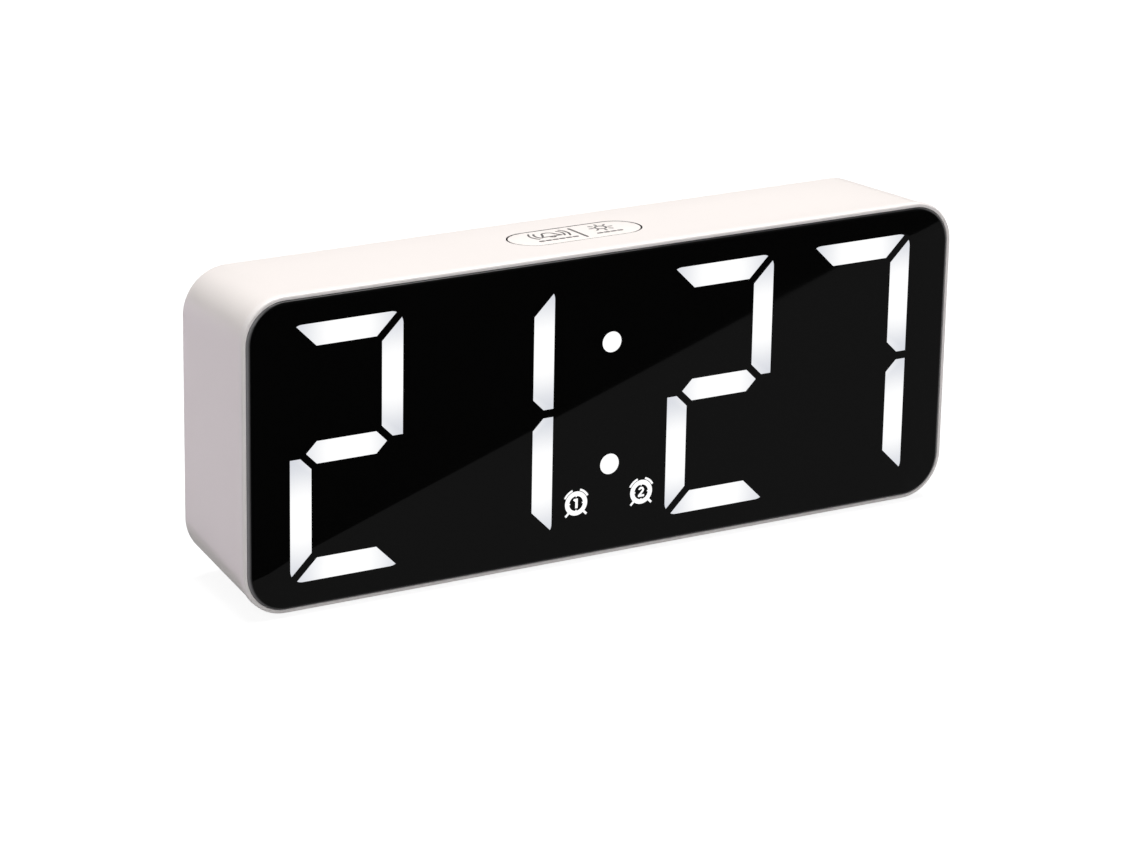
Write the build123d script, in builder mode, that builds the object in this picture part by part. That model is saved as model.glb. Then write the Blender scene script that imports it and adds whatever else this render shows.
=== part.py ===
from build123d import *
import os

# A large-digit LED alarm clock.  Millimetres, +Z up, the display faces -Y.
# The origin is on the surface the clock stands on, under the middle of the case.

# ---------------------------------------------------------------- driving dimensions

CASE_W = 180.0          # across the front rim
RIM_H = 71.6            # height of the front rim
CASE_D = 34.0           # from the lens face to the back wall
FOOT_DROP = 0.8         # how far the feet hold the rim off the table
RIM_R = 10.1            # outer corner radius of the rim
WALL = 2.0              # case wall

FRONT_Y = -CASE_D / 2
BACK_Y = CASE_D / 2
MID_Z = FOOT_DROP + RIM_H / 2

# Display stack, front to back
LENS_T = 1.2
LENS_INSET = 1.0        # lens edge from the rim's outer edge
LENS_EDGE_R = 0.8
TAPE_T = 0.1
FLANGE_T = 0.7
RIM_STEP = 0.4          # the lens stands this far proud of the rim
RIM_W = 0.9             # visible width of the rim
RIM_EDGE_R = 0.5
RIM_PROUD = 0.2         # the rim stands this far outside the case
DIFFUSER_T = 0.3
REFLECTOR_W, REFLECTOR_H, REFLECTOR_T = 162.0, 61.2, 6.8
BOARD_T = 1.6

LENS_BACK_Y = FRONT_Y + LENS_T
FLANGE_Y = LENS_BACK_Y + TAPE_T
CASE_FRONT_Y = FLANGE_Y + FLANGE_T
REFLECTOR_Y = LENS_BACK_Y + DIFFUSER_T
DISPLAY_BOARD_Y = REFLECTOR_Y + REFLECTOR_T
DISPLAY_BACK_Y = DISPLAY_BOARD_Y + BOARD_T

# Digits
DIGIT_W, DIGIT_H = 27.1, 58.2
DIGIT_R = 3.0           # outer corners of a digit
STROKE = 5.1            # width of one segment
MITRE_GAP = 1.8         # between neighbouring segments at a corner
MIDDLE_GAP = 1.9        # between the upper and lower upright segments
BAR_TIP = 9.7           # half length of the middle segment
DIGIT_X = (-65.5, -28.2, 28.2, 64.9)
DIGITS_LIT = ("abged", "bc", "abged", "abc")
DOT_R, DOT_Z = 2.4, 14.3
ICON_X, ICON_Z = 8.4, -22.3
ICON_T = 0.4            # the pictograms are shallow inlays

# Rear case: outline at its front edge and at the back wall
CASE_FRONT = (CASE_W - 2 * RIM_PROUD, RIM_H - 2 * RIM_PROUD, RIM_R - RIM_PROUD)
CASE_BACK = (176.9, 67.2, 10.4)
CASE_BACK_SHIFT = 0.1   # the back outline's centre is this much higher
BACK_INNER_Y = BACK_Y - WALL
BACK_EDGE_R = 1.0

# Long screws that close the case
SCREW_X, SCREW_Z = 84.0, 24.0
POST_R, POST_END_Y = 2.7, -7.0
TUBE_R, TUBE_END_Y = 4.0, -6.9
SEAT_Y = -4.0           # the screw heads rest here
COUNTERBORE_R = 2.9

# Screws that hold the display board
BOSS_X, BOSS_Z, BOSS_R = 84.0, 9.0, 2.2
PILOT_R, CLEAR_R = 0.85, 1.1

# Top key
KEY_L, KEY_W, KEY_Y = 32.4, 12.2, 0.5
KEY_GAP = 0.32
KEY_FLANGE = 1.1        # how far the retaining flange stands out
KEY_FLANGE_Z, KEY_FLANGE_T = 67.3, 1.2
KEY_STEM_R, KEY_STEM_Z = 2.0, 65.2
SNOOZE_BOARD_Z = 60.2
SNOOZE_BOSS_X, SNOOZE_BOSS_R = 20.5, 2.2

# Rear keys
REAR_KEY_NAMES = ("light_key", "down_key", "up_key", "alarm_key", "set_key")
REAR_KEY_PITCH = 13.0
REAR_KEY_MID_X, REAR_KEY_Z = -40.0, 15.4
REAR_KEY_W, REAR_KEY_H, REAR_KEY_R = 8.0, 5.0, 2.4
RECESS_DEPTH = 1.0
REAR_CAP_Y, REAR_FLANGE_Y, REAR_STEM_Y, REAR_STEM_END_Y = 16.8, 14.8, 14.0, 13.2

# Main board
MAIN_Y = 7.4
MAIN_BACK_Y = MAIN_Y + BOARD_T
MAIN_X, MAIN_Z, MAIN_W, MAIN_H = -41.0, -0.6, 74.0, 56.0
MAIN_HOLE_X, MAIN_HOLE_Z = 33.0, 24.0
SOCKET_X, SOCKET_Z = -40.0, -22.6
SOCKET_W, SOCKET_H = 8.94, 3.26
BUZZER_X, BUZZER_Z = -62.0, -6.6

# Battery bay, in the back wall
BAY_X, BAY_W = 47.0, 53.0
BAY_Z, BAY_H = 0.4, 34.0            # from the middle height of the case
BAY_FLOOR_Y = 3.2
BAY_WALL = 2.5
CELL_R, CELL_BODY, NUB_R, NUB_L = 5.25, 43.3, 1.9, 1.2
CELL_PITCH = 11.0
CELL_Y = BAY_FLOOR_Y + 0.1 + CELL_R
PLATE_T = 0.4
DOOR_W, DOOR_T, DOOR_GAP = 57.0, 1.9, 0.25
DOOR_TOP_Z = 56.0
HINGE_Y, HINGE_Z = BACK_Y - DOOR_T / 2, 18.8
PIN_R, PIN_L = 0.5, 1.2

# Feet
FOOT_R, FOOT_X = 5.0, 72.0
FRONT_FOOT = (-8.0, 2.4)            # its y, and the height of its seat
REAR_FOOT = (9.0, 3.3)

os.makedirs("parts", exist_ok=True)


def facing(y):
    """The plane at depth y that looks out of the front: local x is X, local y is Z from mid height."""
    return Plane(origin=(0, y, MID_Z), x_dir=(1, 0, 0), z_dir=(0, -1, 0))


def behind(y):
    """The plane at depth y that looks out of the back: local x is -X, local y is Z from mid height."""
    return Plane(origin=(0, y, MID_Z), x_dir=(-1, 0, 0), z_dir=(0, 1, 0))


def corners(x, z):
    """Four points about the middle of the case."""
    return [(sx * x, sz * z) for sx in (-1, 1) for sz in (-1, 1)]


def save(piece, label):
    """Label a finished piece and write its STEP file."""
    piece.part.label = label
    export_step(piece.part, f"parts/{label}.step")


def drive_screws(seat, spots, head_r, head_h, shank_r, length):
    """Pan-head screws under the open BuildPart: seat looks the way the shanks point."""
    with BuildSketch(seat) as shanks:
        with Locations(*spots):
            Circle(shank_r)
    with BuildSketch(seat) as heads:
        with Locations(*spots):
            Circle(head_r)
    with BuildSketch(seat.offset(-head_h)) as slots:
        with Locations(*spots):
            Rectangle(head_r * 1.2, head_r * 0.26)
            Rectangle(head_r * 0.26, head_r * 1.2)
    extrude(shanks.sketch, amount=length)
    extrude(heads.sketch, amount=-head_h)
    extrude(slots.sketch, amount=head_h * 0.55, mode=Mode.SUBTRACT)


def bend_wire(radius, bend, points):
    """A round wire under the open BuildPart, along straight runs joined by arcs."""
    with BuildLine() as route:
        FilletPolyline(*points, radius=bend)
    with BuildSketch(Plane(origin=route.line @ 0, z_dir=route.line % 0)) as section:
        Circle(radius)
    sweep(section.sketch, path=route.line)


# ---------------------------------------------------------------- digits
# Seven segments with 45 degree ends.  One bar and one upright are drawn, the rest are mirrored.

half_w, half_h = DIGIT_W / 2, DIGIT_H / 2
inner_x, inner_z = half_w - STROKE, half_h - STROKE
mitre = MITRE_GAP / 2 ** 0.5        # half the gap, measured along x or z
slant_x = BAR_TIP + MITRE_GAP * 2 ** 0.5 * 0.92
upright_z = MIDDLE_GAP / 2


def outline_face(points):
    """The part of a polygon that lies inside the digit's rounded outline."""
    with BuildSketch() as face:
        with BuildLine():
            Polyline(*points, close=True)
        make_face()
        RectangleRounded(DIGIT_W, DIGIT_H, DIGIT_R, mode=Mode.INTERSECT)
    return face.sketch


top_bar = outline_face([
    (-(inner_x - mitre), inner_z), (inner_x - mitre, inner_z),
    (half_w - mitre, half_h), (-(half_w - mitre), half_h),
])
upright = outline_face([
    (inner_x, inner_z - mitre), (half_w, half_h - mitre), (half_w, upright_z),
    (slant_x - upright_z, upright_z), (inner_x, slant_x - inner_x),
])
middle_bar = outline_face([
    (-BAR_TIP, 0), (STROKE / 2 - BAR_TIP, STROKE / 2), (BAR_TIP - STROKE / 2, STROKE / 2),
    (BAR_TIP, 0), (BAR_TIP - STROKE / 2, -STROKE / 2), (STROKE / 2 - BAR_TIP, -STROKE / 2),
])
SEGMENTS = {
    "a": top_bar,
    "b": upright,
    "c": mirror(upright, about=Plane.XZ, mode=Mode.PRIVATE),
    "d": mirror(top_bar, about=Plane.XZ, mode=Mode.PRIVATE),
    "e": upright.rotate(Axis.Z, 180),
    "f": mirror(upright, about=Plane.YZ, mode=Mode.PRIVATE),
    "g": middle_bar,
}
LED_SPOT = {
    "a": (0, half_h - STROKE / 2), "b": (half_w - STROKE / 2, half_h / 2),
    "c": (half_w - STROKE / 2, -half_h / 2), "d": (0, STROKE / 2 - half_h),
    "e": (STROKE / 2 - half_w, -half_h / 2), "f": (STROKE / 2 - half_w, half_h / 2), "g": (0, 0),
}


def draw_segments(lit, unlit):
    """Segments of all four digits on the open sketch."""
    for x, on in zip(DIGIT_X, DIGITS_LIT):
        for letter, shape in SEGMENTS.items():
            if (letter in on and lit) or (letter not in on and unlit):
                with Locations((x, 0)):
                    add(shape)


def draw_dots():
    """The two colon dots."""
    with Locations((0, DOT_Z), (0, -DOT_Z)):
        Circle(DOT_R)


def draw_bow(x, z, radius, width, start, sweep):
    """Part of a ring about (x, z), from the start angle through the sweep."""
    with BuildLine() as outline:
        inner = CenterArc((x, z), radius - width / 2, start, sweep)
        outer = CenterArc((x, z), radius + width / 2, start, sweep)
        Line(inner @ 0, outer @ 0)
        Line(inner @ 1, outer @ 1)
    make_face(outline.edges())


def draw_alarm_icons():
    """Two small alarm clocks: a ring with ticks, two bells, two legs, and a 1 or a 2 inside."""
    ring_r, ring_t, bell_r = 2.85, 1.1, 3.25
    for x in (-ICON_X, ICON_X):
        with Locations((x, ICON_Z)):
            Circle(ring_r)
            Circle(ring_r - ring_t, mode=Mode.SUBTRACT)
            with PolarLocations(ring_r - ring_t, 4):
                Rectangle(0.5, 0.3)
        for start in (27, 107):
            draw_bow(x, ICON_Z, bell_r, 0.5, start, 46)
        for side in (-1, 1):
            with Locations(Location((x + side * 2.1, ICON_Z - 2.25), side * 45)):
                Rectangle(0.55, 1.7)
    with Locations((-ICON_X + 0.1, ICON_Z)):
        Rectangle(0.65, 2.3)
    with Locations(Location((-ICON_X - 0.3, ICON_Z + 0.75), -40)):
        Rectangle(0.9, 0.45)
    draw_bow(ICON_X, ICON_Z + 0.45, 0.5, 0.5, -35, 205)
    with Locations(Location((ICON_X - 0.05, ICON_Z - 0.3), 47)):
        Rectangle(1.35, 0.5)
    with Locations((ICON_X, ICON_Z - 0.9)):
        Rectangle(1.6, 0.5)


# ---------------------------------------------------------------- front bezel
# A thin rim round the lens, a flange the lens is taped to, a skirt that centres the case, and posts.

with BuildPart() as front_bezel:
    with BuildSketch(facing(CASE_FRONT_Y)):
        RectangleRounded(CASE_W, RIM_H, RIM_R)
    extrude(amount=CASE_FRONT_Y - FRONT_Y - RIM_STEP)
    fillet(front_bezel.faces().sort_by(Axis.Y)[0].edges(), RIM_EDGE_R)
    with BuildSketch(facing(FLANGE_Y)):
        RectangleRounded(CASE_W - 2 * RIM_W, RIM_H - 2 * RIM_W, RIM_R - RIM_W)
    extrude(amount=FLANGE_Y - FRONT_Y, mode=Mode.SUBTRACT)
    with BuildSketch(facing(CASE_FRONT_Y)):
        RectangleRounded(CASE_W - 8.8, RIM_H - 8.8, 5.7)
    extrude(amount=FLANGE_T, mode=Mode.SUBTRACT)
    with BuildSketch(facing(CASE_FRONT_Y + 5.5)):
        RectangleRounded(CASE_W - 5.2, RIM_H - 5.2, 7.5)
        RectangleRounded(CASE_W - 8.4, RIM_H - 8.4, 5.9, mode=Mode.SUBTRACT)
    extrude(amount=5.5)
    with BuildSketch(facing(POST_END_Y)):
        with Locations(*corners(SCREW_X, SCREW_Z)):
            Circle(POST_R)
    extrude(amount=POST_END_Y - CASE_FRONT_Y)
    with BuildSketch(facing(DISPLAY_BOARD_Y)):
        with Locations(*corners(BOSS_X, BOSS_Z)):
            Circle(BOSS_R)
    extrude(amount=DISPLAY_BOARD_Y - CASE_FRONT_Y)
    with BuildSketch(facing(POST_END_Y)):
        with Locations(*corners(SCREW_X, SCREW_Z)):
            Circle(CLEAR_R)
    extrude(amount=7.4, mode=Mode.SUBTRACT)
    with BuildSketch(facing(DISPLAY_BOARD_Y)):
        with Locations(*corners(BOSS_X, BOSS_Z)):
            Circle(PILOT_R)
    extrude(amount=5.6, mode=Mode.SUBTRACT)
save(front_bezel, "front_bezel")

# ---------------------------------------------------------------- lens and inlays
# The lens has a window for every segment and dot and a pocket for each pictogram, all filled flush.

with BuildPart() as display_lens:
    with BuildSketch(facing(LENS_BACK_Y)):
        RectangleRounded(CASE_W - 2 * LENS_INSET, RIM_H - 2 * LENS_INSET, RIM_R - LENS_INSET)
    extrude(amount=LENS_T)
    fillet(display_lens.faces().sort_by(Axis.Y)[0].edges(), LENS_EDGE_R)
    with BuildSketch(facing(LENS_BACK_Y)):
        draw_segments(lit=True, unlit=True)
        draw_dots()
    extrude(amount=LENS_T, mode=Mode.SUBTRACT)
    with BuildSketch(facing(FRONT_Y + ICON_T)):
        draw_alarm_icons()
    extrude(amount=ICON_T, mode=Mode.SUBTRACT)
save(display_lens, "display_lens")

with BuildPart() as lit_segments:
    with BuildSketch(facing(LENS_BACK_Y)):
        draw_segments(lit=True, unlit=False)
    extrude(amount=LENS_T)
save(lit_segments, "lit_segments")

with BuildPart() as unlit_segments:
    with BuildSketch(facing(LENS_BACK_Y)):
        draw_segments(lit=False, unlit=True)
    extrude(amount=LENS_T)
save(unlit_segments, "unlit_segments")

with BuildPart() as colon_dots:
    with BuildSketch(facing(LENS_BACK_Y)):
        draw_dots()
    extrude(amount=LENS_T)
save(colon_dots, "colon_dots")

with BuildPart() as alarm_icons:
    with BuildSketch(facing(FRONT_Y + ICON_T)):
        draw_alarm_icons()
    extrude(amount=ICON_T)
save(alarm_icons, "alarm_icons")

with BuildPart() as lens_tape:
    with BuildSketch(facing(FLANGE_Y)):
        RectangleRounded(CASE_W - 3.2, RIM_H - 3.2, 8.5)
        RectangleRounded(CASE_W - 8.0, RIM_H - 8.0, 6.1, mode=Mode.SUBTRACT)
    extrude(amount=TAPE_T)
save(lens_tape, "lens_tape")

# ---------------------------------------------------------------- behind the lens
# Diffuser, reflector with one well per window, and the board with its light-emitting diodes.

with BuildPart() as diffuser_sheet:
    with BuildSketch(facing(REFLECTOR_Y)):
        RectangleRounded(REFLECTOR_W, REFLECTOR_H, 2.0)
    extrude(amount=DIFFUSER_T)
save(diffuser_sheet, "diffuser_sheet")

with BuildPart() as reflector_housing:
    with BuildSketch(facing(DISPLAY_BOARD_Y)):
        RectangleRounded(REFLECTOR_W, REFLECTOR_H, 2.0)
    extrude(amount=REFLECTOR_T)
    with BuildSketch(facing(DISPLAY_BOARD_Y)):
        draw_segments(lit=True, unlit=True)
        draw_dots()
        with Locations((-ICON_X, ICON_Z), (ICON_X, ICON_Z)):
            Circle(3.7)
    extrude(amount=REFLECTOR_T, mode=Mode.SUBTRACT)
save(reflector_housing, "reflector_housing")

with BuildPart() as display_board:
    with BuildSketch(facing(DISPLAY_BACK_Y)):
        Rectangle(161.6, 60.0)
        Rectangle(171.0, 26.0)
        with Locations(*corners(BOSS_X, BOSS_Z)):
            Circle(CLEAR_R, mode=Mode.SUBTRACT)
    extrude(amount=BOARD_T)
save(display_board, "display_board")

led_spots = [(x + dx, dz) for x in DIGIT_X for dx, dz in LED_SPOT.values()]
led_spots += [(0, DOT_Z), (0, -DOT_Z), (-ICON_X, ICON_Z), (ICON_X, ICON_Z)]
with BuildPart() as display_leds:
    with BuildSketch(facing(DISPLAY_BOARD_Y)):
        with Locations(*led_spots):
            Rectangle(2.0, 1.25)
    extrude(amount=0.8)
save(display_leds, "display_leds")

with BuildPart() as display_driver:
    with BuildSketch(facing(DISPLAY_BACK_Y + 2.2)):
        Rectangle(17.9, 7.5)
    extrude(amount=2.0)
    with BuildSketch(facing(DISPLAY_BACK_Y + 0.9)):
        with GridLocations(1.27, 8.9, 14, 2):
            Rectangle(0.42, 1.6)
    extrude(amount=0.9)
save(display_driver, "display_driver")

with BuildPart() as display_screws:
    drive_screws(facing(DISPLAY_BACK_Y), corners(BOSS_X, BOSS_Z), 1.9, 1.3, PILOT_R, 5.6)
save(display_screws, "display_screws")

# ---------------------------------------------------------------- rear case
# A deep tub that tapers to the back.  Its envelope also gives the top key its flush face.

with BuildPart() as case_envelope:
    with BuildSketch(facing(CASE_FRONT_Y)):
        RectangleRounded(*CASE_FRONT)
    with BuildSketch(facing(BACK_Y)):
        with Locations((0, CASE_BACK_SHIFT)):
            RectangleRounded(*CASE_BACK)
    loft()

cavity_front = [size - 2 * WALL for size in CASE_FRONT[:2]] + [CASE_FRONT[2] - WALL]
cavity_back = [size - 2 * WALL + 0.15 for size in CASE_BACK[:2]] + [CASE_BACK[2] - WALL]
rear_key_spots = [(REAR_KEY_MID_X + (i - 2) * REAR_KEY_PITCH, REAR_KEY_Z) for i in range(5)]
hinge_z = HINGE_Z - MID_Z
door_top = DOOR_TOP_Z - MID_Z
opening_bottom = hinge_z - DOOR_T / 2 - DOOR_GAP
opening_top = door_top + DOOR_GAP
bay_outer_w, bay_outer_h = BAY_W + 2 * BAY_WALL, BAY_H + 2 * BAY_WALL

with BuildPart() as rear_case:
    add(case_envelope.part)
    fillet(rear_case.faces().sort_by(Axis.Y)[-1].edges(), BACK_EDGE_R)
    with BuildSketch(facing(CASE_FRONT_Y)):
        RectangleRounded(*cavity_front)
    with BuildSketch(facing(BACK_INNER_Y)):
        with Locations((0, CASE_BACK_SHIFT)):
            RectangleRounded(*cavity_back)
    loft(mode=Mode.SUBTRACT)

    # screw tubes, board bosses, battery bay and hinge blocks, all grown from the back wall
    with BuildSketch(facing(BACK_INNER_Y)):
        with Locations(*corners(SCREW_X, SCREW_Z)):
            Circle(TUBE_R)
    extrude(amount=BACK_INNER_Y - TUBE_END_Y)
    with BuildSketch(facing(BACK_INNER_Y)):
        with Locations((MAIN_X, MAIN_Z)):
            with Locations(*corners(MAIN_HOLE_X, MAIN_HOLE_Z)):
                Circle(2.6)
    extrude(amount=BACK_INNER_Y - MAIN_BACK_Y)
    with BuildSketch(facing(BACK_INNER_Y)):
        with Locations((BAY_X, BAY_Z)):
            Rectangle(bay_outer_w, bay_outer_h)
    extrude(amount=BACK_INNER_Y - BAY_FLOOR_Y + 1.5)
    with BuildSketch(facing(BACK_INNER_Y)):
        for side in (-1, 1):
            with Locations((BAY_X + side * (DOOR_W / 2 + 1.6), hinge_z)):
                Rectangle(3.6, 5.6)
    extrude(amount=1.8)

    # deep counterbores and the holes for the long screws
    with BuildSketch(facing(BACK_Y)):
        with Locations(*corners(SCREW_X, SCREW_Z)):
            Circle(COUNTERBORE_R)
    extrude(amount=BACK_Y - SEAT_Y, mode=Mode.SUBTRACT)
    with BuildSketch(facing(SEAT_Y)):
        with Locations(*corners(SCREW_X, SCREW_Z)):
            Circle(1.45)
    extrude(amount=SEAT_Y - TUBE_END_Y, mode=Mode.SUBTRACT)
    with BuildSketch(facing(MAIN_BACK_Y + 5.0)):
        with Locations((MAIN_X, MAIN_Z)):
            with Locations(*corners(MAIN_HOLE_X, MAIN_HOLE_Z)):
                Circle(PILOT_R)
    extrude(amount=5.0, mode=Mode.SUBTRACT)

    # battery bay: the room for the cells, the door opening, wire holes and pin holes
    with BuildSketch(facing(BACK_Y)):
        with Locations((BAY_X, BAY_Z)):
            Rectangle(BAY_W, BAY_H)
    extrude(amount=BACK_Y - BAY_FLOOR_Y, mode=Mode.SUBTRACT)
    with BuildSketch(facing(BACK_Y)):
        with Locations((BAY_X, (opening_bottom + opening_top) / 2)):
            RectangleRounded(DOOR_W + 2 * DOOR_GAP, opening_top - opening_bottom, 0.9)
    extrude(amount=WALL, mode=Mode.SUBTRACT)
    with BuildSketch(Plane.YZ.offset(BAY_X - DOOR_W / 2 - PIN_L - 0.4)):
        with Locations((HINGE_Y, HINGE_Z)):
            Circle(PIN_R + 0.08)
    extrude(amount=DOOR_W + 2 * PIN_L + 0.8, mode=Mode.SUBTRACT)
    with BuildSketch(Plane.YZ.offset(BAY_X - bay_outer_w / 2)):
        for row in (-1, 1):
            with Locations((5.5, MID_Z + BAY_Z + row * CELL_PITCH)):
                Circle(0.8)
    extrude(amount=BAY_WALL, mode=Mode.SUBTRACT)

    # rear keys, power socket and sound holes
    with BuildSketch(facing(BACK_Y)):
        with Locations((REAR_KEY_MID_X, REAR_KEY_Z)):
            RectangleRounded(4 * REAR_KEY_PITCH + 14.0, 10.0, 4.9)
    extrude(amount=RECESS_DEPTH, mode=Mode.SUBTRACT)
    with BuildSketch(facing(BACK_Y)):
        with Locations(*rear_key_spots):
            RectangleRounded(REAR_KEY_W + 0.4, REAR_KEY_H + 0.4, REAR_KEY_R + 0.2)
        with Locations((SOCKET_X, SOCKET_Z)):
            RectangleRounded(SOCKET_W + 0.7, SOCKET_H + 0.7, 1.9)
        with Locations((BUZZER_X, BUZZER_Z)):
            Circle(0.8)
            with PolarLocations(3.0, 6):
                Circle(0.8)
            with PolarLocations(6.0, 12):
                Circle(0.8)
    extrude(amount=WALL, mode=Mode.SUBTRACT)

    # opening and bosses for the top key
    with BuildSketch(Plane.XY.offset(RIM_H - 2.2)):
        for side in (-1, 1):
            with Locations((side * SNOOZE_BOSS_X, KEY_Y)):
                Circle(SNOOZE_BOSS_R)
    extrude(amount=SNOOZE_BOARD_Z + BOARD_T - RIM_H + 2.2)
    with BuildSketch(Plane.XY.offset(SNOOZE_BOARD_Z + BOARD_T)):
        for side in (-1, 1):
            with Locations((side * SNOOZE_BOSS_X, KEY_Y)):
                Circle(PILOT_R)
    extrude(amount=5.6, mode=Mode.SUBTRACT)
    with BuildSketch(Plane.XY.offset(KEY_FLANGE_Z)):
        with Locations((0, KEY_Y)):
            SlotOverall(KEY_L + 2 * KEY_GAP, KEY_W + 2 * KEY_GAP)
    extrude(amount=8.0, mode=Mode.SUBTRACT)

    # seats for the feet
    for foot_y, seat_z in (FRONT_FOOT, REAR_FOOT):
        with BuildSketch(Plane.XY):
            with Locations((-FOOT_X, foot_y), (FOOT_X, foot_y)):
                Circle(FOOT_R + 0.1)
        extrude(amount=seat_z, mode=Mode.SUBTRACT)
save(rear_case, "rear_case")

# ---------------------------------------------------------------- top key and its switch
# The key is flush with the case; a flange under the wall keeps it in.

with BuildPart() as snooze_key:
    with BuildSketch(Plane.XY.offset(KEY_FLANGE_Z)):
        with Locations((0, KEY_Y)):
            SlotOverall(KEY_L, KEY_W)
    extrude(amount=8.0)
    add(case_envelope.part, mode=Mode.INTERSECT)
    fillet(snooze_key.faces().sort_by(Axis.Z)[-1].edges(), 0.15)
    with BuildSketch(Plane.XY.offset(KEY_FLANGE_Z)):
        with Locations((0, KEY_Y)):
            SlotOverall(KEY_L + 2 * KEY_FLANGE, KEY_W + 2 * KEY_FLANGE)
    extrude(amount=KEY_FLANGE_T)
    with BuildSketch(Plane.XY.offset(KEY_STEM_Z)):
        with Locations((0, KEY_Y)):
            Circle(KEY_STEM_R)
    extrude(amount=KEY_FLANGE_Z - KEY_STEM_Z)
save(snooze_key, "snooze_key")

switch_z = SNOOZE_BOARD_Z + BOARD_T
with BuildPart() as snooze_plunger:
    with BuildSketch(Plane.XY.offset(KEY_STEM_Z - 1.5)):
        with Locations((0, KEY_Y)):
            Circle(1.6)
    extrude(amount=1.5)
save(snooze_plunger, "snooze_plunger")

with BuildPart() as snooze_switch:
    with BuildSketch(Plane.XY.offset(switch_z)):
        with Locations((0, KEY_Y)):
            Rectangle(6.0, 6.0)
    extrude(amount=2.6)
    with BuildSketch(Plane.XY.offset(switch_z + 1.2)):
        with Locations((0, KEY_Y)):
            Circle(1.75)
    extrude(amount=1.4, mode=Mode.SUBTRACT)
save(snooze_switch, "snooze_switch")

with BuildPart() as snooze_board:
    with BuildSketch(Plane.XY.offset(SNOOZE_BOARD_Z)):
        with Locations((0, KEY_Y)):
            RectangleRounded(46.0, 9.0, 1.0)
            with GridLocations(2 * SNOOZE_BOSS_X, 0, 2, 1):
                Circle(CLEAR_R, mode=Mode.SUBTRACT)
    extrude(amount=BOARD_T)
save(snooze_board, "snooze_board")

with BuildPart() as snooze_screws:
    drive_screws(
        Plane.XY.offset(SNOOZE_BOARD_Z),
        [(-SNOOZE_BOSS_X, KEY_Y), (SNOOZE_BOSS_X, KEY_Y)], 1.9, 1.2, PILOT_R, 6.0)
save(snooze_screws, "snooze_screws")

with BuildPart() as snooze_wires:
    for x in (-13.0, -11.0):
        bend_wire(0.5, 1.5, [(x, 3.0, SNOOZE_BOARD_Z), (x, 3.0, 56.5), (x, MAIN_Y, 56.5)])
save(snooze_wires, "snooze_wires")

# ---------------------------------------------------------------- main board
# It stands on four bosses of the back wall, with the switches and the socket on its rear side.

with BuildPart() as main_board:
    with BuildSketch(facing(MAIN_BACK_Y)):
        with Locations((MAIN_X, MAIN_Z)):
            RectangleRounded(MAIN_W, MAIN_H, 1.5)
            with Locations(*corners(MAIN_HOLE_X, MAIN_HOLE_Z)):
                Circle(CLEAR_R, mode=Mode.SUBTRACT)
    extrude(amount=BOARD_T)
save(main_board, "main_board")

with BuildPart() as board_screws:
    spots = [(-MAIN_X - x, MAIN_Z + z) for x, z in corners(MAIN_HOLE_X, MAIN_HOLE_Z)]
    drive_screws(behind(MAIN_Y), spots, 1.9, 1.2, PILOT_R, 6.2)
save(board_screws, "board_screws")

with BuildPart() as controller_chip:
    with BuildSketch(facing(MAIN_Y - 0.1)):
        with Locations((-48.0, 6.0)):
            RectangleRounded(10.0, 10.0, 0.3)
    extrude(amount=1.4)
    with BuildSketch(facing(MAIN_Y)):
        with Locations((-48.0, 6.0)):
            with GridLocations(0.8, 10.8, 11, 2):
                Rectangle(0.35, 1.4)
            with GridLocations(10.8, 0.8, 2, 11):
                Rectangle(1.4, 0.35)
    extrude(amount=0.6)
save(controller_chip, "controller_chip")

with BuildPart() as crystal:
    with BuildSketch(facing(MAIN_Y)):
        with Locations((-48.0, -8.0)):
            SlotOverall(11.0, 4.6)
    extrude(amount=0.5)
    with BuildSketch(facing(MAIN_Y - 0.5)):
        with Locations((-48.0, -8.0)):
            SlotOverall(10.2, 3.8)
    extrude(amount=3.0)
    fillet(crystal.faces().sort_by(Axis.Y)[0].edges(), 0.4)
save(crystal, "crystal")

with BuildPart() as capacitor:
    with BuildSketch(facing(MAIN_Y)):
        with Locations((-20.0, -17.0)):
            Circle(3.15)
    extrude(amount=7.5)
    fillet(capacitor.faces().sort_by(Axis.Y)[0].edges(), 0.5)
save(capacitor, "capacitor")

with BuildPart() as buzzer:
    with BuildSketch(facing(MAIN_BACK_Y + 5.6)):
        with Locations((BUZZER_X, BUZZER_Z)):
            Circle(6.0)
    extrude(amount=5.6)
    with BuildSketch(facing(MAIN_BACK_Y + 5.6)):
        with Locations((BUZZER_X, BUZZER_Z)):
            Circle(1.2)
    extrude(amount=2.5, mode=Mode.SUBTRACT)
save(buzzer, "buzzer")

with BuildPart() as usb_socket:
    with BuildSketch(facing(16.3)):
        with Locations((SOCKET_X, SOCKET_Z)):
            RectangleRounded(SOCKET_W, SOCKET_H, 1.6)
    extrude(amount=16.3 - MAIN_BACK_Y)
    with BuildSketch(facing(16.3)):
        with Locations((SOCKET_X, SOCKET_Z)):
            RectangleRounded(SOCKET_W - 0.6, SOCKET_H - 0.6, 1.3)
    extrude(amount=16.3 - MAIN_BACK_Y - 0.5, mode=Mode.SUBTRACT)
save(usb_socket, "usb_socket")

with BuildPart() as usb_tongue:
    with BuildSketch(facing(15.6)):
        with Locations((SOCKET_X, SOCKET_Z)):
            Rectangle(6.7, 0.7)
    extrude(amount=15.6 - MAIN_BACK_Y - 0.5)
save(usb_tongue, "usb_tongue")

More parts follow.
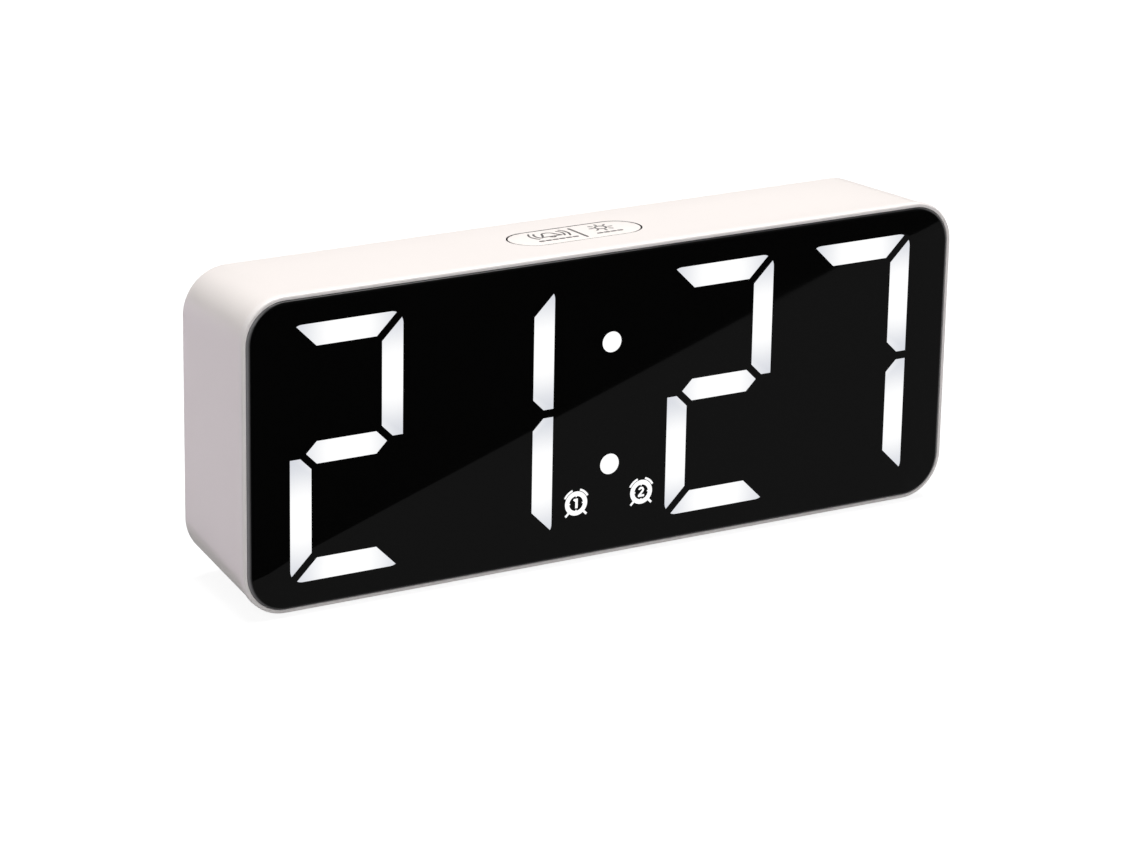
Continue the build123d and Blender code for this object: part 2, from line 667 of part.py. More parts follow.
with BuildPart() as key_switches:
    with BuildSketch(facing(MAIN_BACK_Y + 3.5)):
        with Locations(*rear_key_spots):
            Rectangle(6.0, 6.0)
    extrude(amount=3.5)
    with BuildSketch(facing(MAIN_BACK_Y + 3.5)):
        with Locations(*rear_key_spots):
            Circle(1.35)
    extrude(amount=1.2, mode=Mode.SUBTRACT)
save(key_switches, "key_switches")

# ---------------------------------------------------------------- rear keys
# Each has a cap, a flange that keeps it in the wall, and a stem on its switch's plunger.

for name, spot in zip(REAR_KEY_NAMES, rear_key_spots):
    with BuildPart() as rear_key:
        with BuildSketch(facing(REAR_CAP_Y)):
            with Locations(spot):
                RectangleRounded(REAR_KEY_W, REAR_KEY_H, REAR_KEY_R)
        extrude(amount=REAR_CAP_Y - REAR_FLANGE_Y)
        fillet(rear_key.faces().sort_by(Axis.Y)[-1].edges(), 0.4)
        with BuildSketch(facing(REAR_FLANGE_Y)):
            with Locations(spot):
                RectangleRounded(REAR_KEY_W + 1.8, REAR_KEY_H + 1.8, 2.0)
        extrude(amount=REAR_FLANGE_Y - REAR_STEM_Y)
        with BuildSketch(facing(REAR_STEM_Y)):
            with Locations(spot):
                Circle(1.2)
        extrude(amount=REAR_STEM_Y - REAR_STEM_END_Y)
    save(rear_key, name)

    with BuildPart() as plunger:
        with BuildSketch(facing(REAR_STEM_END_Y)):
            with Locations(spot):
                Circle(1.2)
        extrude(amount=1.3)
    save(plunger, name.replace("key", "plunger"))

# ---------------------------------------------------------------- battery door, cells and contacts
# The door turns on two short pins at its lower edge, which is round about the same axis.

with BuildPart() as battery_door:
    with BuildSketch(Plane.YZ.offset(BAY_X - DOOR_W / 2)):
        with Locations((HINGE_Y, (HINGE_Z + DOOR_TOP_Z) / 2)):
            Rectangle(DOOR_T, DOOR_TOP_Z - HINGE_Z)
        with Locations((HINGE_Y, HINGE_Z)):
            Circle(DOOR_T / 2)
    extrude(amount=DOOR_W)
    fillet(battery_door.edges().filter_by(Axis.Y).sort_by(Axis.Z)[-2:], 0.9)
    with BuildSketch(Plane.YZ.offset(BAY_X - DOOR_W / 2 - PIN_L)):
        with Locations((HINGE_Y, HINGE_Z)):
            Circle(PIN_R)
    extrude(amount=DOOR_W + 2 * PIN_L)
    # slots that free the latch tongue, its nose, the finger scoop, and ribs between the cells
    with BuildSketch(facing(BACK_Y)):
        for side in (-1, 1):
            with Locations((BAY_X + side * 6.5, door_top - 3.5)):
                Rectangle(0.8, 7.0)
    extrude(amount=DOOR_T, mode=Mode.SUBTRACT)
    with BuildSketch(facing(BACK_Y - 1.1)):
        with Locations((BAY_X, door_top + 0.05)):
            Rectangle(8.0, 0.3)
    extrude(amount=0.8)
    with BuildSketch(facing(BACK_Y)):
        with Locations((BAY_X, door_top - 4.2)):
            SlotOverall(9.0, 2.6)
    extrude(amount=0.7, mode=Mode.SUBTRACT)
    with BuildSketch(facing(BACK_Y - DOOR_T)):
        for row in (-1, 1):
            with Locations((BAY_X, BAY_Z + row * CELL_PITCH / 2)):
                Rectangle(48.0, 1.0)
    extrude(amount=0.6)
save(battery_door, "battery_door")

bay_left = BAY_X - BAY_W / 2
bay_right = BAY_X + BAY_W / 2
SPRING_SIDE = {1: -1, 2: 1, 3: -1}  # which end of the bay each cell's spring is at
for cell, side in SPRING_SIDE.items():
    cell_z = MID_Z + BAY_Z + (cell - 2) * CELL_PITCH
    nub_x = BAY_X - side * (BAY_W / 2 - PLATE_T)
    with BuildPart() as battery_cell:
        with BuildSketch(Plane.YZ.offset(nub_x)):
            with Locations((CELL_Y, cell_z)):
                Circle(NUB_R)
        extrude(amount=side * NUB_L)
        with BuildSketch(Plane.YZ.offset(nub_x + side * NUB_L)):
            with Locations((CELL_Y, cell_z)):
                Circle(CELL_R)
        extrude(amount=side * CELL_BODY)
        fillet(battery_cell.edges().filter_by(GeomType.CIRCLE).group_by(SortBy.LENGTH)[-1], 0.4)
    save(battery_cell, f"battery_cell_{cell}")

spring_gap = BAY_W - 2 * PLATE_T - NUB_L - CELL_BODY
with BuildPart() as battery_springs:
    for cell, side in SPRING_SIDE.items():
        cell_z = MID_Z + BAY_Z + (cell - 2) * CELL_PITCH
        start_x = BAY_X + side * (BAY_W / 2 - PLATE_T - 0.4)
        with BuildLine() as coil:
            Helix(1.7, spring_gap - 0.8, 2.8, center=(start_x, CELL_Y, cell_z), direction=(-side, 0, 0))
        with BuildSketch(Plane(origin=coil.line @ 0, z_dir=coil.line % 0)):
            Circle(0.35)
        sweep(path=coil.line, is_frenet=True)
save(battery_springs, "battery_springs")

with BuildPart() as battery_plates:
    for x in (bay_left, bay_right - PLATE_T):
        with BuildSketch(Plane.YZ.offset(x)):
            with GridLocations(1, CELL_PITCH, 1, 3):
                with Locations((CELL_Y, MID_Z + BAY_Z)):
                    Rectangle(8.4, 8.8)
        extrude(amount=PLATE_T)
save(battery_plates, "battery_plates")

for colour, row in (("red", 1), ("black", -1)):
    wire_z = MID_Z + BAY_Z + row * CELL_PITCH
    with BuildPart() as wire:
        bend_wire(0.6, 1.2, [(bay_left, 5.5, wire_z), (-10.0, 5.5, wire_z), (-10.0, MAIN_Y, wire_z)])
    save(wire, f"battery_wire_{colour}")

# ---------------------------------------------------------------- ribbon cable
# It joins the display board to the main board with a small step between the two headers.

FRONT_HEADER_Z, REAR_HEADER_Z, RIBBON_X = 52.0, 48.0, -30.0
HEADER_T = 2.5
with BuildPart() as ribbon_headers:
    with BuildSketch(facing(DISPLAY_BACK_Y + HEADER_T)):
        with Locations((RIBBON_X, FRONT_HEADER_Z - MID_Z)):
            Rectangle(14.0, 5.0)
    extrude(amount=HEADER_T)
    with BuildSketch(facing(MAIN_Y)):
        with Locations((RIBBON_X, REAR_HEADER_Z - MID_Z)):
            Rectangle(14.0, 5.0)
    extrude(amount=HEADER_T)
save(ribbon_headers, "ribbon_headers")

ribbon_start, ribbon_end = DISPLAY_BACK_Y + HEADER_T, MAIN_Y - HEADER_T
with BuildPart() as ribbon_cable:
    with BuildLine() as route:
        FilletPolyline(
            (RIBBON_X, ribbon_start, FRONT_HEADER_Z), (RIBBON_X, ribbon_start + 3.2, FRONT_HEADER_Z),
            (RIBBON_X, ribbon_end - 3.2, REAR_HEADER_Z), (RIBBON_X, ribbon_end, REAR_HEADER_Z), radius=1.8)
    with BuildSketch(Plane(origin=route.line @ 0, x_dir=(1, 0, 0), z_dir=route.line % 0)):
        Rectangle(12.0, 0.8)
    sweep(path=route.line)
save(ribbon_cable, "ribbon_cable")

# ---------------------------------------------------------------- feet and case screws

with BuildPart() as rubber_feet:
    for foot_y, seat_z in (FRONT_FOOT, REAR_FOOT):
        with BuildSketch(Plane.XY):
            with Locations((-FOOT_X, foot_y), (FOOT_X, foot_y)):
                Circle(FOOT_R)
        extrude(amount=seat_z)
    fillet(rubber_feet.edges().group_by(Axis.Z)[0], 0.3)
save(rubber_feet, "rubber_feet")

with BuildPart() as case_screws:
    drive_screws(facing(SEAT_Y), corners(SCREW_X, SCREW_Z), 2.6, 1.8, CLEAR_R, 9.6)
save(case_screws, "case_screws")
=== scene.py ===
import math

import bpy
import numpy as np
from mathutils import Matrix, Vector


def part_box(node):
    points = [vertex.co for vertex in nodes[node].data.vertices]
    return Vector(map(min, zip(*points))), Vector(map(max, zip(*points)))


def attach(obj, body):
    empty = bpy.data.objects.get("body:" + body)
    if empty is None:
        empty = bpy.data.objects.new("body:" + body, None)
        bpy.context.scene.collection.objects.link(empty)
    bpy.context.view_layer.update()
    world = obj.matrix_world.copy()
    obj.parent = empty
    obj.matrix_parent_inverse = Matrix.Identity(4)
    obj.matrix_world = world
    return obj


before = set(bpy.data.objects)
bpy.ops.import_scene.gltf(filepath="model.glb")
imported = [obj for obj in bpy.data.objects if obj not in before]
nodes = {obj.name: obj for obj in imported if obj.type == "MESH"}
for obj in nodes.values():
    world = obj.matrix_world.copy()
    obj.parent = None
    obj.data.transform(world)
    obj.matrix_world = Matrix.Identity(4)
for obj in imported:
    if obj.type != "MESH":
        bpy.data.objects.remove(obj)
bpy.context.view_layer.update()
MM = 0.001


# ------------------------------------------------------------------ rear case
# One deep shell of pale ABS, moulded in a tool with a fine spark-eroded grain.
# It closes the clock from behind and is held by four long screws.


class Number:
    """A number socket that takes part in Python sums: each operator adds one Math node."""

    def __init__(self, finish, socket):
        self.finish, self.socket = finish, socket

    def sum(self, operation, *values):
        return self.finish.add("ShaderNodeMath", {"operation": operation}, dict(enumerate(values)))

    def __add__(self, other):
        return self.sum("ADD", self, other)

    __radd__ = __add__

    def __sub__(self, other):
        return self.sum("SUBTRACT", self, other)

    def __rsub__(self, other):
        return self.sum("SUBTRACT", other, self)

    def __mul__(self, other):
        return self.sum("MULTIPLY", self, other)

    __rmul__ = __mul__

    def __pow__(self, other):
        return self.sum("POWER", self, other)

    def __abs__(self):
        return self.sum("ABSOLUTE", self)

    def __lt__(self, other):
        return self.sum("LESS_THAN", self, other)

    def __gt__(self, other):
        return self.sum("GREATER_THAN", self, other)

    def least(self, other):
        return self.sum("MINIMUM", self, other)

    def most(self, other):
        return self.sum("MAXIMUM", self, other)

    def sine(self):
        return self.sum("SINE", self)

    def ease(self, low, high):
        """0 where self is low or less, 1 where it is high or more, and a smooth step between."""
        return self.finish.add(
            "ShaderNodeMapRange", {"interpolation_type": "SMOOTHSTEP"}, {0: self, 1: low, 2: high})


class Finish:
    """One procedural material on Object coordinates, in metres."""

    def __init__(self, name, **constants):
        self.material = bpy.data.materials.new(name)
        self.material.use_nodes = True
        self.tree = self.material.node_tree
        self.shader = self.tree.nodes["Principled BSDF"]
        for socket, value in constants.items():
            self.shader.inputs[socket.replace("_", " ")].default_value = value
        self.place = self.add("ShaderNodeTexCoord", output="Object")
        split = self.add("ShaderNodeSeparateXYZ", inputs={0: self.place}).socket.node.outputs
        self.x, self.y, self.z = (Number(self, split[axis]) for axis in "XYZ")

    def add(self, kind, settings=None, inputs=None, output=0):
        """Adds one node: its settings first, then a value or a link for each named socket."""
        node = self.tree.nodes.new(kind)
        for key, value in (settings or {}).items():
            setattr(node, key, value)
        for key, value in (inputs or {}).items():
            if isinstance(value, Number):
                self.tree.links.new(value.socket, node.inputs[key])
            else:
                node.inputs[key].default_value = value
        return Number(self, node.outputs[output])

    def outside(self, across, along, half_across, half_along, radius):
        """Signed distance outside a rounded rectangle of those half sizes about (0, 0)."""
        across, along = abs(across) - (half_across - radius), abs(along) - (half_along - radius)
        corner = (across.most(0) ** 2.0 + along.most(0) ** 2.0) ** 0.5
        return corner + across.most(along).least(0) - radius

    def noise(self, size, detail=3.0, roughness=0.5):
        """Noise whose blotches are about size metres across, from 0 to 1."""
        return self.add("ShaderNodeTexNoise", inputs={
            "Vector": self.place, "Scale": 1 / size, "Detail": detail, "Roughness": roughness})

    def blend(self, factor, first, second):
        """The colour first where factor is 0, and second where it is 1."""
        first, second = ((*c, 1) if isinstance(c, tuple) else c for c in (first, second))
        return self.add("ShaderNodeMix", {"data_type": "RGBA"}, {0: factor, 6: first, 7: second}, 2)

    def bump(self, height, depth, strength=1.0):
        """A bump of that depth in metres, for the shader's Normal."""
        return self.add("ShaderNodeBump", inputs={
            "Height": height, "Distance": depth, "Strength": strength})

    def wear(self, *names, **sockets):
        """Links the varying sockets, and puts the finished material on these CAD nodes."""
        for socket, value in sockets.items():
            self.tree.links.new(value.socket, self.shader.inputs[socket.replace("_", " ")])
        for name in names:
            nodes[name].data.materials.clear()
            nodes[name].data.materials.append(self.material)


def moulded_plastic(name, light, dark, grain, roughness, parts):
    """Pale plastic: faint flow clouds in the colour, and an eroded grain in gloss and relief."""
    finish = Finish(name)
    clouds = finish.noise(40 * MM, 2.0)
    specks = finish.noise(grain, 4.0, 0.6)
    finish.wear(
        *parts,
        Base_Color=finish.blend(clouds * 0.7 + specks * 0.3, light, dark),
        Roughness=roughness + (specks - 0.5) * 0.16,
        Normal=finish.bump(specks, 0.02 * MM, 0.6))


CASE_LIGHT, CASE_DARK = (0.865, 0.815, 0.785), (0.825, 0.775, 0.75)
moulded_plastic("door_abs", CASE_LIGHT, CASE_DARK, 0.35 * MM, 0.34, ["battery_door"])

key_lo, key_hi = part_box("snooze_key")
key_x, key_y = (key_lo.x + key_hi.x) / 2, (key_lo.y + key_hi.y) / 2
KEY_HALF_L, KEY_HALF_W, GAP_DEPTH = 16.2 * MM, 6.1 * MM, 3 * MM


def cap_plastic(name, part, roughness, gap_from, gap_to):
    """The case's plastic, with painted shade on the walls of the narrow gap round the top key.

    The walls are where the distance outside the key's outline is from gap_from to gap_to.
    """
    finish = Finish(name)
    clouds = finish.noise(40 * MM, 2.0)
    specks = finish.noise(0.35 * MM, 4.0, 0.6)
    beyond = finish.outside(
        finish.x - key_x, finish.y - key_y, KEY_HALF_L, KEY_HALF_W, KEY_HALF_W)
    gap = (beyond > gap_from) * (beyond < gap_to) * (finish.z > key_hi.z - GAP_DEPTH)
    plastic = finish.blend(clouds * 0.7 + specks * 0.3, CASE_LIGHT, CASE_DARK)
    # Painted shade: a near-black colour on the walls of the narrow gap round the top key, where shade
    # falls.
    painted_gap_shade = finish.blend(specks, (0.05, 0.045, 0.045), (0.09, 0.085, 0.08))
    finish.wear(
        part,
        Base_Color=finish.blend(gap, plastic, painted_gap_shade),
        Roughness=roughness + (specks - 0.5) * 0.16 + gap * 0.3,
        Normal=finish.bump(specks, 0.02 * MM, 0.6))


# The rear case, with painted shade on the walls of the gap round the top key.
cap_plastic("case_abs", "rear_case", 0.32, -0.5 * MM, 0.35 * MM)

# ------------------------------------------------------------------ front bezel
# A thin frame of the same plastic, moulded smoother, because it is what the eye follows.
# The lens is taped to its flange.
moulded_plastic("bezel_abs", (0.87, 0.83, 0.81), (0.84, 0.80, 0.78), 0.2 * MM, 0.34, ["front_bezel"])

# ------------------------------------------------------------------ display lens and dark segments
# Clear acrylic with a smoke-black print behind it and a polished face.  The print stops short
# of the rounded edge, where a grey band is painted in for the light it picks up from the white frame;
# unlit segments vanish.
rim_lo, rim_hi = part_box("front_bezel")
mid_z = (rim_lo.z + rim_hi.z) / 2
PRINT_HALF_W, PRINT_HALF_H, PRINT_R = 88.5 * MM, 34.8 * MM, 9.0 * MM
for name in ("display_lens", "unlit_segments"):
    lens = Finish(name + "_acrylic", Specular_IOR_Level=0.2, IOR=1.49)
    smears = lens.noise(55 * MM, 4.0, 0.55)
    beyond = lens.outside(lens.x, lens.z - mid_z, PRINT_HALF_W, PRINT_HALF_H, PRINT_R)
    printed = lens.blend(smears, (0.0007, 0.0007, 0.0006), (0.0010, 0.0010, 0.0010))
    lens.wear(
        name,
        # Painted highlight: near the rounded edge the colour turns grey for light the edge picks up
        # from the white frame.
        Base_Color=lens.blend(beyond.ease(-0.4 * MM, 0.55 * MM), printed, (0.29, 0.285, 0.29)),
        Roughness=0.03 + smears.ease(0.45, 0.8) * 0.03)

# ------------------------------------------------------------------ lit segments, dots and pictograms
# Clear inlays with light-emitting diodes behind them: brightest over each diode, a little
# dimmer and bluer towards the ends of a segment.
DIGIT_PITCH_MID, DIGIT_PITCH_HALF = 46.7 * MM, 18.5 * MM
BAR_X, UPRIGHT_Z, BAR_Z = 11.0 * MM, 14.6 * MM, 26.5 * MM
DOT_Z, ICON_X, ICON_Z = 14.3 * MM, 8.4 * MM, -22.3 * MM


def glow(name, part, distance_to_diode, reach, strength):
    """Emission that falls from white over the diode to a cool grey at reach metres from it."""
    finish = Finish(name, Roughness=0.12, Emission_Strength=strength)
    spread = distance_to_diode(finish).ease(0.25 * reach, reach)
    speckle = finish.noise(1.5 * MM)
    finish.wear(
        part,
        Base_Color=finish.blend(speckle, (0.03, 0.03, 0.03), (0.05, 0.05, 0.05)),
        Emission_Color=finish.blend(spread, (1.0, 1.0, 1.0), (0.66, 0.68, 0.73)))


def to_segment_diode(finish):
    """Distance to the nearest diode of a seven-segment digit, folded onto one quarter of a digit."""
    x = abs(abs(abs(finish.x) - DIGIT_PITCH_MID) - DIGIT_PITCH_HALF)
    z = abs(finish.z - mid_z)
    upright = ((x - BAR_X) ** 2.0 + (z - UPRIGHT_Z) ** 2.0) ** 0.5
    outer_bar = (x ** 2.0 + (z - BAR_Z) ** 2.0) ** 0.5
    middle_bar = (x ** 2.0 + z ** 2.0) ** 0.5
    return upright.least(outer_bar).least(middle_bar)


def to_dot_diode(finish):
    """Distance along the height from the middle of the nearer colon dot."""
    return abs(abs(finish.z - mid_z) - DOT_Z)


def to_pictogram_diode(finish):
    """Distance from the middle of the nearer pictogram."""
    return ((abs(finish.x) - ICON_X) ** 2.0 + (finish.z - (mid_z + ICON_Z)) ** 2.0) ** 0.5


glow("segment_glow", "lit_segments", to_segment_diode, 14 * MM, 1.0)
glow("dot_glow", "colon_dots", to_dot_diode, 6 * MM, 1.02)
glow("pictogram_glow", "alarm_icons", to_pictogram_diode, 8 * MM, 1.05)

# ------------------------------------------------------------------ behind the lens
# Foam tape, a milky diffuser, and a white reflector with a well for each segment.
# They are stacked between the lens and the display board, and hidden by the lens.
for name, light, dark, grain, roughness in (
        ("lens_tape", (0.03, 0.03, 0.03), (0.05, 0.05, 0.05), 0.5 * MM, 0.85),
        ("diffuser_sheet", (0.80, 0.82, 0.84), (0.74, 0.76, 0.78), 0.3 * MM, 0.5),
        ("reflector_housing", (0.84, 0.84, 0.83), (0.76, 0.76, 0.75), 0.8 * MM, 0.3)):
    moulded_plastic(name + "_finish", light, dark, grain, roughness, [name])

# ------------------------------------------------------------------ circuit boards
# Glass-epoxy boards in green solder mask: copper tracks show through as paler lines,
# and tinned vias as small bright spots.
for name in ("display_board", "main_board", "snooze_board"):
    board = Finish(name + "_mask")
    tracks = board.add("ShaderNodeTexBrick", {"offset": 0.35, "squash": 0.6}, {
        "Vector": board.add("ShaderNodeMapping", inputs={
            "Vector": board.place, "Rotation": (math.pi / 2, 0, 0)}),
        "Scale": 1 / (9 * MM), "Mortar Size": 0.035, "Mortar Smooth": 0.1}, "Fac")
    vias = board.add("ShaderNodeTexVoronoi", inputs={
        "Vector": board.place, "Scale": 1 / (5 * MM), "Randomness": 0.9}, output="Distance") < 0.09
    weave = board.noise(0.6 * MM)
    mask_colour = board.blend(weave, (0.012, 0.11, 0.045), (0.018, 0.14, 0.06))
    track_colour = board.blend(tracks, mask_colour, (0.05, 0.27, 0.11))
    board.wear(
        name,
        Base_Color=board.blend(vias, track_colour, (0.75, 0.70, 0.55)),
        Metallic=vias * 0.9,
        Roughness=0.34 - vias * 0.1 + weave * 0.08,
        Normal=board.bump(tracks, 0.03 * MM))

# ------------------------------------------------------------------ chips, switches and small parts
# Black epoxy and black nylon with a fine grain; leads and rims of tinned copper stand out at
# the edges of each body.


def leads_mask(finish, part, body_w, body_h):
    """1 outside a body of that width and height about the middle of the part, where its leads are."""
    lo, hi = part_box(part)
    beside = abs(finish.x - (lo.x + hi.x) / 2) > body_w / 2
    above = abs(finish.z - (lo.z + hi.z) / 2) > body_h / 2
    return beside.most(above)


for name, body_w, body_h in (
        ("display_driver", 18.2 * MM, 7.6 * MM), ("controller_chip", 10.1 * MM, 10.1 * MM)):
    chip = Finish(name + "_epoxy")
    leads = leads_mask(chip, name, body_w, body_h)
    grain = chip.noise(0.15 * MM)
    chip.wear(
        name,
        Base_Color=chip.blend(leads, chip.blend(grain, (0.012, 0.012, 0.013), (0.03, 0.03, 0.032)),
                              chip.blend(grain, (0.72, 0.72, 0.70), (0.60, 0.60, 0.58))),
        Metallic=leads,
        Roughness=0.6 - leads * 0.3 + grain * 0.1,
        Normal=chip.bump(grain, 0.01 * MM))

for name, light, dark, roughness in (
        ("key_switches", (0.02, 0.02, 0.02), (0.04, 0.04, 0.04), 0.5),
        ("snooze_switch", (0.02, 0.02, 0.02), (0.04, 0.04, 0.04), 0.5),
        ("buzzer", (0.015, 0.015, 0.016), (0.03, 0.03, 0.032), 0.4),
        ("capacitor", (0.02, 0.03, 0.07), (0.03, 0.04, 0.09), 0.3),
        ("usb_tongue", (0.02, 0.02, 0.02), (0.035, 0.035, 0.035), 0.45),
        ("ribbon_headers", (0.62, 0.58, 0.48), (0.70, 0.66, 0.56), 0.45),
        ("display_leds", (0.80, 0.74, 0.42), (0.86, 0.82, 0.55), 0.25)):
    moulded_plastic(name + "_finish", light, dark, 0.3 * MM, roughness, [name])
for name in ("snooze", "light", "down", "up", "alarm", "set"):
    moulded_plastic(
        name + "_plunger_nylon", (0.45, 0.09, 0.05), (0.55, 0.13, 0.08), 0.2 * MM, 0.4,
        [name + "_plunger"])


# ------------------------------------------------------------------ metal parts
# Zinc-plated screws, a tinned socket shell and crystal can, and nickel-plated springs and
# contact plates: clouded plating, with drawing lines along the part.


def plated_metal(name, light, dark, roughness, parts):
    """Plated metal: cloudy tone, fine drawing lines, and gloss that follows both."""
    finish = Finish(name, Metallic=1.0)
    clouds = finish.noise(3 * MM)
    lines = finish.add("ShaderNodeTexWave", {"bands_direction": "Z"}, {
        "Vector": finish.place, "Scale": 1 / (0.9 * MM), "Distortion": 2.0, "Detail": 2.0}, "Fac")
    finish.wear(
        *parts,
        Base_Color=finish.blend(clouds, light, dark),
        Roughness=roughness + clouds * 0.12 + lines * 0.05,
        Normal=finish.bump(lines, 0.004 * MM, 0.5))


plated_metal("zinc_screw", (0.66, 0.66, 0.68), (0.52, 0.53, 0.56), 0.28,
             ["case_screws", "board_screws", "display_screws", "snooze_screws"])
plated_metal("tinned_shell", (0.72, 0.72, 0.71), (0.60, 0.60, 0.60), 0.22, ["usb_socket", "crystal"])
plated_metal("nickel_contact", (0.76, 0.74, 0.70), (0.64, 0.62, 0.58), 0.18,
             ["battery_springs", "battery_plates"])

# ------------------------------------------------------------------ wires and ribbon
# Wires in PVC insulation with a soft shine, and a grey ribbon of parallel conductors with one
# marked edge, which joins the two circuit boards.
for name, light, dark in (
        ("battery_wire_red", (0.52, 0.02, 0.015), (0.62, 0.04, 0.03)),
        ("battery_wire_black", (0.012, 0.012, 0.012), (0.025, 0.025, 0.025)),
        ("snooze_wires", (0.50, 0.50, 0.48), (0.60, 0.60, 0.58))):
    moulded_plastic(name + "_pvc", light, dark, 0.8 * MM, 0.35, [name])

CORE_PITCH = 1.0 * MM
ribbon_lo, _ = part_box("ribbon_cable")
ribbon = Finish("ribbon_pvc")
cores = ((ribbon.x - ribbon_lo.x) * (2 * math.pi / CORE_PITCH)).sine()
marked_edge = ribbon.x < ribbon_lo.x + CORE_PITCH
ribbon.wear(
    "ribbon_cable",
    Base_Color=ribbon.blend(
        marked_edge, ribbon.blend(ribbon.noise(4 * MM), (0.46, 0.47, 0.49), (0.54, 0.55, 0.57)),
        (0.55, 0.04, 0.03)),
    Roughness=0.45 - cores * 0.06,
    Normal=ribbon.bump(cores, 0.1 * MM))

# ------------------------------------------------------------------ battery cells
# Steel cans in a printed sleeve: a dark body, a copper-coloured band at the positive end, and
# bare plated ends.  Each cell's positive end is the one with the nub.
CELL_CAN, CELL_NUB, BARE_RIM, COPPER_BAND = 43.3 * MM, 1.2 * MM, 0.5 * MM, 11 * MM
for number, positive in ((1, 1), (2, -1), (3, 1)):
    name = f"battery_cell_{number}"
    lo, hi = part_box(name)
    tip = hi.x if positive > 0 else lo.x
    cell = Finish(name + "_sleeve")
    along = (tip - cell.x) * positive
    bare = (along < CELL_NUB + BARE_RIM).most(along > CELL_NUB + CELL_CAN - BARE_RIM)
    band = along < CELL_NUB + COPPER_BAND
    scuffs = cell.noise(1.2 * MM, 5.0, 0.7)
    sleeve = cell.blend(band, (0.022, 0.024, 0.03), (0.55, 0.27, 0.12))
    sleeve = cell.blend(scuffs.ease(0.62, 0.8) * 0.25, sleeve, (0.35, 0.35, 0.36))
    cell.wear(
        name,
        Base_Color=cell.blend(bare, sleeve, (0.68, 0.68, 0.69)),
        Metallic=bare.most(band * 0.7),
        Roughness=0.3 + scuffs * 0.12)

# ------------------------------------------------------------------ keys
# Caps of the case's plastic with a slightly different grain, so that a fingertip finds them.
# A flange behind the wall keeps each one in its hole.
REAR_KEYS = ("light_key", "down_key", "up_key", "alarm_key", "set_key")
# The snooze key, with painted shade on its sides down in the gap round it.
cap_plastic("snooze_key_abs", "snooze_key", 0.4, -0.06 * MM, 1.5 * MM)
moulded_plastic("key_abs", (0.87, 0.825, 0.80), (0.835, 0.79, 0.77), 0.25 * MM, 0.4, REAR_KEYS)


# ------------------------------------------------------------------ printed marks
# Pad-printed dark grey ink, a few hundredths of a millimetre thick: a bell and a sun on the
# top key with a line between them, a pictogram on each rear key, and an arrow on the door.


def ink_stroke(points, width, height=0.03):
    """A raised line along a path in millimetres.

    Each station has four corners, half the width to either side of the path, at the surface
    and at the ink's height.  Beyond both ends the width follows a half circle, so the line
    ends round.
    """
    points = np.asarray(points, float)
    run = np.gradient(points, axis=0)
    run /= np.linalg.norm(run, axis=1, keepdims=True)
    turn = np.radians([30.0, 60.0, 82.0])
    reach, narrow = np.sin(turn)[:, None] * width / 2, np.cos(turn)
    start = points[0] - reach[::-1] * run[0]
    end = points[-1] + reach * run[-1]
    centre = np.vstack([start, points, end])
    half = np.concatenate([narrow[::-1], np.ones(len(points)), narrow]) * width / 2
    along = np.vstack([np.repeat(run[:1], 3, 0), run, np.repeat(run[-1:], 3, 0)])
    across = np.stack([-along[:, 1], along[:, 0]], 1) * half[:, None]
    flat = np.stack([centre - across, centre - across, centre + across, centre + across], 1)
    level = np.broadcast_to(np.array([0, height, height, 0])[None, :, None], (len(flat), 4, 1))
    verts = np.concatenate([flat, level], 2).reshape(-1, 3)
    station = np.arange(len(flat) - 1)[:, None] * 4
    side = np.arange(4)[None, :]
    ahead = (side + 1) % 4
    faces = np.stack([station + side, station + ahead, station + 4 + ahead, station + 4 + side], 2)
    faces = faces.reshape(-1, 4)[:, ::-1]
    last = len(verts) - 4
    caps = [[0, 1, 2, 3], [last + 3, last + 2, last + 1, last]]
    return verts, np.vstack([faces, caps])


def arc(x, y, radius, start, end, count=14):
    """Points on a circle about (x, y), from start to end in degrees."""
    angle = np.radians(np.linspace(start, end, count))
    return np.stack([x + radius * np.cos(angle), y + radius * np.sin(angle)], 1)


def line(*points):
    """Straight runs through these points, with one more station in the middle of each."""
    points = np.array(points, float)
    middle = (points[1:] + points[:-1]) / 2
    return np.insert(points, np.arange(1, len(points)), middle, axis=0)


def sun(x, y, size):
    """A ring with eight rays; size is its radius with the rays."""
    rays = np.radians(np.arange(0, 360, 45))
    strokes = [arc(x, y, size * 0.46, 0, 360, 25)]
    strokes += [line((x + size * 0.72 * math.cos(a), y + size * 0.72 * math.sin(a)),
                     (x + size * math.cos(a), y + size * math.sin(a))) for a in rays]
    return strokes


def bell(x, y, size):
    """A bell with a clapper; size is half its height."""
    dome = arc(x, y + size * 0.15, size * 0.62, 0, 180, 17)
    left, right = (x - size, y - size * 0.62), (x + size, y - size * 0.62)
    outline = np.vstack([line(right, dome[0]), dome[1:-1], line(dome[-1], left)])
    return [outline, line(left, right), arc(x, y - size * 0.72, size * 0.26, 200, 340, 7)]


def ringing_bell(x, y, size):
    """A bell with two sound arcs on each side."""
    waves = [arc(x, y, size * radius, middle - 34, middle + 34, 9)
             for radius in (1.45, 1.95) for middle in (0, 180)]
    return bell(x, y, size) + waves


def clock_face(x, y, size):
    """A ring with two hands."""
    return [arc(x, y, size, 0, 360, 29), line((x, y + size * 0.6), (x, y), (x + size * 0.45, y))]


